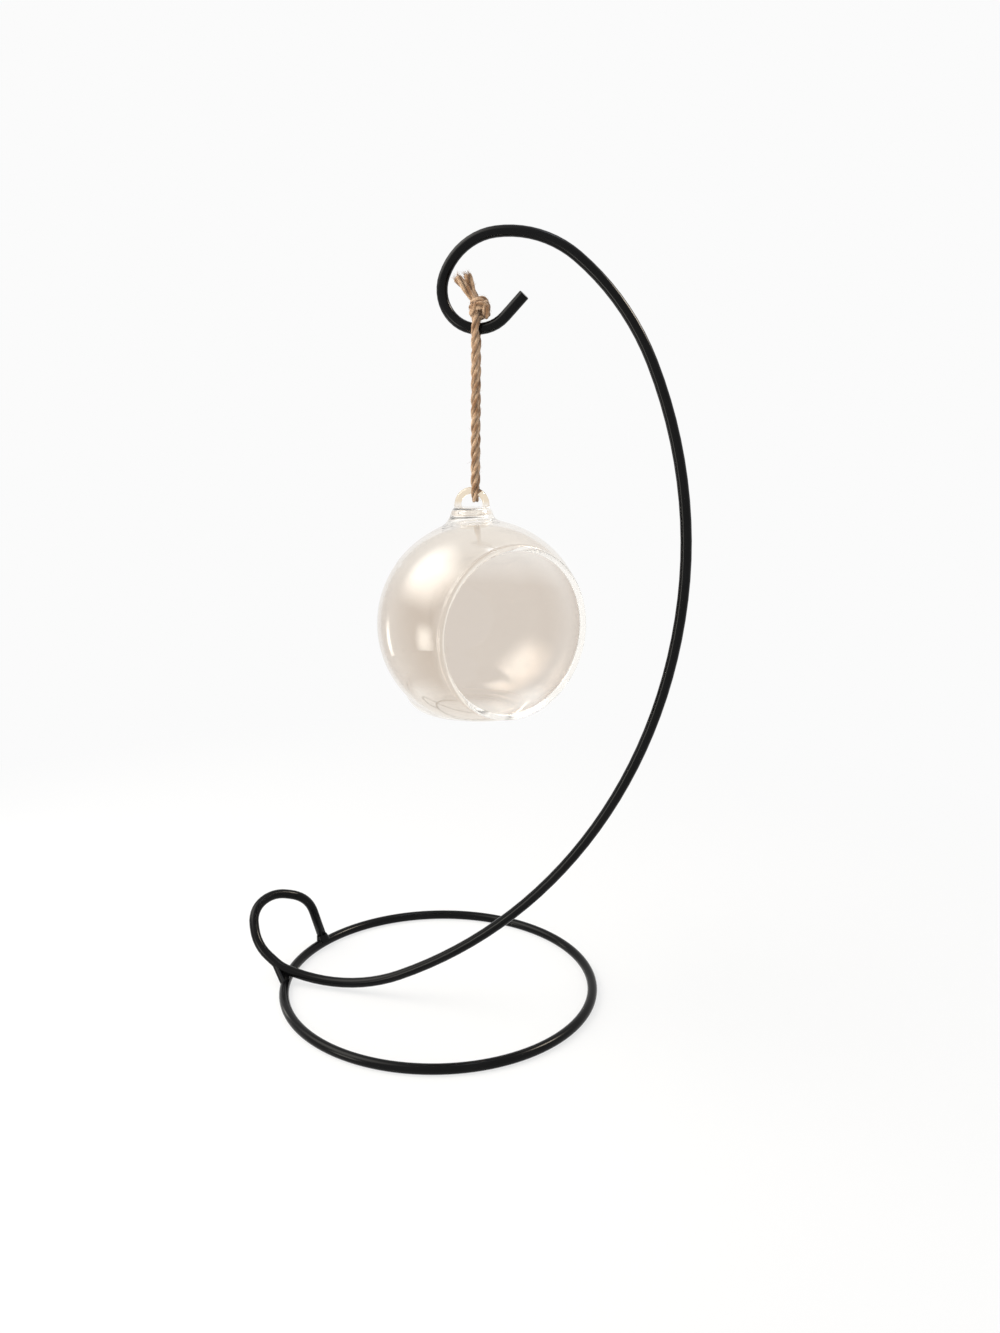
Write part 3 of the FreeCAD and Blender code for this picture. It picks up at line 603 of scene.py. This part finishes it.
eye_mesh.from_pydata((eye_points.reshape(-1, 3) * MM).tolist(), [],
                     grid_faces(EYE_STEPS, THREAD_STEPS, closed_rows=True).tolist())
merge_doubles(eye_mesh, 1e-7, turn_outwards=True)
eye = bpy.data.objects.new("drawn_eye", eye_mesh)
bpy.context.scene.collection.objects.link(eye)
union = globe.modifiers.new("eye", "BOOLEAN")
union.operation = "UNION"
union.solver = "EXACT"
union.object = eye
joined = bpy.data.meshes.new_from_object(globe.evaluated_get(bpy.context.evaluated_depsgraph_get()))
globe.modifiers.clear()
globe.data = joined
bpy.data.objects.remove(eye)
joined.polygons.foreach_set("use_smooth", [True] * len(joined.polygons))

# Clear soda-lime glass, fire-polished, with a warm tint that is a painted reflection: it stands in for
# a beige room seen through and mirrored in the walls. Its thickness swings a little, so the reflections
# waver over 10 to 20 mm. The tint is deeper round a point at the back: a painted reflection of darker
# surroundings in the back wall, seen through the mouth. The tint is left out, almost colourless, at the
# rim and the neck, and the foot's front side is painted light, almost white; the shoulder is paler.
# The eye's thread is a little warmer. Where the wall is seen along its length it is deeper in tone.
DARK_ROOM_MIDDLE = (0.0150, 0.0190, 0.1600)
NECK_LEVEL = 208.5 * MM
RIM_LEVEL = float(bowl_middle @ mouth_way) * MM + 20.6 * MM
glass, tree, output = new_material("blown_clear_glass")
place = add(tree, "TexCoord")
upward = add(tree, "SeparateXYZ", {"Vector": place.outputs["Object"]})
clouds = add(tree, "TexNoise", {"Vector": place.outputs["Object"], "Scale": 30.0, "Detail": 1.0})
# Painted reflection: the warm tint stands in for a beige room seen in the glass.
painted_room_tint = add(tree, "ValToRGB", {"Fac": clouds.outputs["Fac"]})
painted_room_tint.color_ramp.elements[0].position = 0.35
painted_room_tint.color_ramp.elements[0].color = linear("#EFE9E2")
painted_room_tint.color_ramp.elements[1].position = 0.65
painted_room_tint.color_ramp.elements[1].color = linear("#F5F0EA")
# Painted reflection: a deeper tint round a point at the back, for darker surroundings mirrored there.
from_dark_room = add(tree, "VectorMath", {0: place.outputs["Object"], 1: DARK_ROOM_MIDDLE}, operation="DISTANCE")
near_dark_room = add(tree, "MapRange", {"Value": from_dark_room.outputs["Value"], "From Min": 62.0 * MM,
                                  "From Max": 26.0 * MM}, interpolation_type="SMOOTHSTEP")
dark_room_tint = add(tree, "Mix", {0: near_dark_room.outputs["Result"], 6: painted_room_tint.outputs["Color"],
                             7: linear("#DACFC4")}, data_type="RGBA")
along_mouth = add(tree, "VectorMath", {0: place.outputs["Object"], 1: tuple(mouth_way)},
                  operation="DOT_PRODUCT")
at_rim = add(tree, "MapRange", {"Value": along_mouth.outputs["Value"], "From Min": RIM_LEVEL,
                                "From Max": RIM_LEVEL + 1.8 * MM})
from_neck = add(tree, "Math", {0: upward.outputs["Z"], 1: NECK_LEVEL}, operation="SUBTRACT")
off_neck = add(tree, "Math", {0: from_neck.outputs["Value"]}, operation="ABSOLUTE")
at_neck = add(tree, "MapRange", {"Value": off_neck.outputs["Value"], "From Min": 5.0 * MM,
                                 "From Max": 2.5 * MM})
# Painted light: low down on the foot's front side the tint is cleared to almost white.
low_down = add(tree, "MapRange", {"Value": upward.outputs["Z"], "From Min": 140.5 * MM,
                                  "From Max": 135.5 * MM})
foot_front_side = add(tree, "MapRange", {"Value": from_dark_room.outputs["Value"], "From Min": 33.0 * MM,
                                   "From Max": 46.0 * MM})
painted_bright_foot = add(tree, "Math", {0: low_down.outputs["Result"], 1: foot_front_side.outputs["Result"]},
              operation="MULTIPLY")
at_shoulder = add(tree, "MapRange", {"Value": upward.outputs["Z"], "From Min": 178.0 * MM,
                                     "From Max": 194.0 * MM, "To Min": 0.0, "To Max": 0.6})
cleared = at_rim.outputs["Result"]
for other_place in (at_neck.outputs["Result"], at_shoulder.outputs["Result"], painted_bright_foot.outputs["Value"]):
    cleared = add(tree, "Math", {0: cleared, 1: other_place}, operation="MAXIMUM").outputs["Value"]
less_tinted = add(tree, "Mix", {0: cleared, 6: dark_room_tint.outputs[2], 7: linear("#FFFCF7")}, data_type="RGBA")
in_thread = add(tree, "MapRange", {"Value": upward.outputs["Z"], "From Min": 211.8 * MM,
                                   "From Max": 214.0 * MM})
drawn = add(tree, "Mix", {0: in_thread.outputs["Result"], 6: less_tinted.outputs[2],
                          7: linear("#EEDFC8")}, data_type="RGBA")
along_wall = add(tree, "LayerWeight", {"Blend": 0.5})
edge_depth = add(tree, "MapRange", {"Value": along_wall.outputs["Facing"], "From Min": 0.55,
                                    "From Max": 0.95, "To Min": 0.0, "To Max": 0.65})
edged = add(tree, "Mix", {0: edge_depth.outputs["Result"], 6: drawn.outputs[2],
                          7: linear("#C4B6A7")}, data_type="RGBA", blend_type="MULTIPLY")
waver = add(tree, "TexNoise", {"Vector": place.outputs["Object"], "Scale": 70.0, "Detail": 0.5})
waver_bump = add(tree, "Bump", {"Height": waver.outputs["Fac"], "Strength": 0.06, "Distance": 1.0 * MM})
clear = add(tree, "BsdfPrincipled", {"Base Color": edged.outputs[2], "Roughness": 0.0, "IOR": 1.5,
                                     "Transmission Weight": 1.0, "Normal": waver_bump.outputs["Normal"]})
tree.links.new(clear.outputs["BSDF"], output.inputs["Surface"])
globe.data.materials.clear()
globe.data.materials.append(glass)
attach(globe, "globe")
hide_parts("glass_globe")


# Foot ring, arm and welds
# Two lengths of 4 mm mild steel rod, cold bent, welded at the two places where they meet, then
# blasted and powder coated black as one piece.
SHARP_EDGE = math.radians(35)

# Black powder coat, baked on the blasted steel: satin, with a fine orange peel about 1 mm across and a
# gloss that is uneven over 10 to 20 mm.
powder, tree, output = new_material("black_powder_coat")
place = add(tree, "TexCoord")
peel = add(tree, "TexNoise", {"Vector": place.outputs["Object"], "Scale": 900.0, "Detail": 2.0})
mottle = add(tree, "TexNoise", {"Vector": place.outputs["Object"], "Scale": 60.0, "Detail": 4.0})
black = add(tree, "ValToRGB", {"Fac": mottle.outputs["Fac"]})
black.color_ramp.elements[0].position = 0.3
black.color_ramp.elements[0].color = linear("#080808")
black.color_ramp.elements[1].position = 0.7
black.color_ramp.elements[1].color = linear("#0E0E0F")
dull = add(tree, "MapRange", {"Value": mottle.outputs["Fac"], "From Min": 0.3, "From Max": 0.7,
                              "To Min": 0.12, "To Max": 0.20})
peel_bump = add(tree, "Bump", {"Height": peel.outputs["Fac"], "Strength": 0.04, "Distance": 0.1 * MM})
coat = add(tree, "BsdfPrincipled", {"Base Color": black.outputs["Color"],
                                    "Roughness": dull.outputs["Result"],
                                    "Specular IOR Level": 0.10, "Normal": peel_bump.outputs["Normal"]})
tree.links.new(coat.outputs["BSDF"], output.inputs["Surface"])


def coated_copy(node, name):
    """A CAD node's own shape as one joined mesh, shaded smooth up to the sharp edge's angle."""
    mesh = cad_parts[node].data.copy()
    mesh.name = name
    merge_doubles(mesh, 2e-6)
    mesh.polygons.foreach_set("use_smooth", [True] * len(mesh.polygons))
    mesh.set_sharp_from_angle(angle=SHARP_EDGE)
    mesh.materials.clear()
    mesh.materials.append(powder)
    piece = bpy.data.objects.new(name, mesh)
    bpy.context.scene.collection.objects.link(piece)
    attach(piece, "stand")
    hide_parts(node)


for node, name in [("base_ring", "foot_ring"), ("stand_arm", "bent_arm"),
                   ("weld_front", "front_weld"), ("weld_rear", "rear_weld")]:
    coated_copy(node, name)


# Studio
# A pale table and a white surround. The table goes over into plain white away from the holder. The
# glass needs many bounces, because light crosses its two walls again and again.
PAPER = "#FBFBFB"
TABLE_HALF = 6.0
bpy.context.scene.view_settings.view_transform = "Standard"
bpy.context.scene.cycles.max_bounces = 128
bpy.context.scene.cycles.glossy_bounces = 96
bpy.context.scene.cycles.transmission_bounces = 64


def shown_or_lighting(tree, lighting, shown):
    """The shown shader for what is seen, mirrored or seen through glass, else the lighting one."""
    path = add(tree, "LightPath")
    seen = add(tree, "Math", {0: path.outputs["Is Camera Ray"], 1: path.outputs["Is Glossy Ray"]},
               operation="ADD")
    seen_through = add(tree, "Math", {0: seen.outputs["Value"], 1: path.outputs["Is Transmission Ray"]},
                       operation="ADD", use_clamp=True)
    return add(tree, "MixShader", {0: seen_through.outputs["Value"], 1: lighting, 2: shown})


floor_mesh = bpy.data.meshes.new("floor")
floor_mesh.from_pydata([(-TABLE_HALF, -TABLE_HALF, 0), (TABLE_HALF, -TABLE_HALF, 0),
                        (TABLE_HALF, TABLE_HALF, 0), (-TABLE_HALF, TABLE_HALF, 0)], [], [(0, 1, 2, 3)])
floor = bpy.data.objects.new("floor", floor_mesh)
bpy.context.scene.collection.objects.link(floor)
table, tree, output = new_material("pale_table")
place = add(tree, "TexCoord")
distance = add(tree, "VectorMath", {"Vector": place.outputs["Object"]}, operation="LENGTH")
fade = add(tree, "MapRange", {"Value": distance.outputs["Value"], "From Min": 0.08, "From Max": 0.45,
                              "To Min": 0.72, "To Max": 1.0})
lit = add(tree, "BsdfDiffuse", {"Color": linear("#F2F2F1")})
white = add(tree, "Emission", {"Color": linear(PAPER), "Strength": 1.0})
blend = add(tree, "MixShader", {0: fade.outputs["Result"], 1: lit.outputs["BSDF"],
                                2: white.outputs["Emission"]})
choice = shown_or_lighting(tree, lit.outputs["BSDF"], blend.outputs["Shader"])
tree.links.new(choice.outputs["Shader"], output.inputs["Surface"])
floor.data.materials.append(table)

world = bpy.data.worlds.new("studio")
world.use_nodes = True
bpy.context.scene.world = world
tree = world.node_tree
tree.nodes.clear()
output = tree.nodes.new("ShaderNodeOutputWorld")
soft = add(tree, "Background", {"Color": linear("#FFFFFF"), "Strength": 0.62})
paper = add(tree, "Background", {"Color": linear(PAPER), "Strength": 1.0})
choice = shown_or_lighting(tree, soft.outputs["Background"], paper.outputs["Background"])
tree.links.new(choice.outputs["Shader"], output.inputs["Surface"])


def softbox(name, way, distance, width, height, colour, power, mirrored=True, seen_through=False,
            lights_up=True):
    """A rectangular lamp with soft edges, at that way and distance from the globe's middle, facing it.

    Mirrored, it shows in reflections; seen through, it shows behind glass; and where it doesn't light
    up the table and the twine, it is there for its reflection alone.
    """
    lamp = bpy.data.lights.new(name, "AREA")
    lamp.shape = "RECTANGLE"
    lamp.size = width
    lamp.size_y = height
    lamp.energy = power
    lamp.color = linear(colour)[:3]
    lamp.use_nodes = True
    tree = lamp.node_tree
    tree.nodes.clear()
    output = tree.nodes.new("ShaderNodeOutputLight")
    place = add(tree, "NewGeometry")
    parts = add(tree, "SeparateXYZ", {"Vector": place.outputs["Parametric"]})
    edges = []
    for axis in ("X", "Y"):
        from_middle = add(tree, "Math", {0: parts.outputs[axis], 1: 0.5}, operation="SUBTRACT")
        off_middle = add(tree, "Math", {0: from_middle.outputs["Value"]}, operation="ABSOLUTE")
        edges.append(add(tree, "MapRange", {"Value": off_middle.outputs["Value"], "From Min": 0.5,
                                            "From Max": 0.06}, interpolation_type="SMOOTHSTEP"))
    soft_edge = add(tree, "Math", {0: edges[0].outputs["Result"], 1: edges[1].outputs["Result"]},
                    operation="MULTIPLY")
    glow = add(tree, "Emission", {"Strength": soft_edge.outputs["Value"]})
    tree.links.new(glow.outputs["Emission"], output.inputs["Surface"])
    back = np.array(way) / np.linalg.norm(way)
    side = unit(np.cross(upright, back))
    facing = Matrix([side.tolist(), np.cross(back, side).tolist(), back.tolist()]).transposed()
    hung_lamp = bpy.data.objects.new(name, lamp)
    hung_lamp.matrix_world = Matrix.Translation(bowl_middle * MM + back * distance) @ facing.to_4x4()
    hung_lamp.visible_camera = False
    hung_lamp.visible_diffuse = lights_up
    hung_lamp.visible_glossy = mirrored
    hung_lamp.visible_transmission = seen_through
    bpy.context.scene.collection.objects.link(hung_lamp)


# The wide window on the left, a fill that glass and coat don't mirror, a cool pane above, a warm pane
# low on the front left, a spot for the rods' glints alone, and a narrow pane for the bowl's left edge.
softbox("window_light", (-0.670, -0.230, 0.705), 1.0, 1.55, 1.35, "#FFFBF2", 38.0, seen_through=True)
softbox("front_fill", (0.45, -0.80, 0.35), 1.4, 0.9, 0.9, "#FFFFFF", 9.0, mirrored=False)
softbox("sky_pane", (0.15, 0.12, 0.98), 1.1, 0.34, 0.34, "#E6EEFA", 3.2)
softbox("low_pane", (-0.700, -0.680, -0.165), 0.5, 0.24, 0.32, "#FFFBEF", 2.1)
softbox("side_spot", (0.64, 0.335, 0.69), 1.3, 0.55, 0.55, "#FFF1DC", 40.0, lights_up=False)
softbox("side_pane", (-0.940, 0.200, -0.240), 0.42, 0.09, 0.24, "#FFFBEF", 0.35)
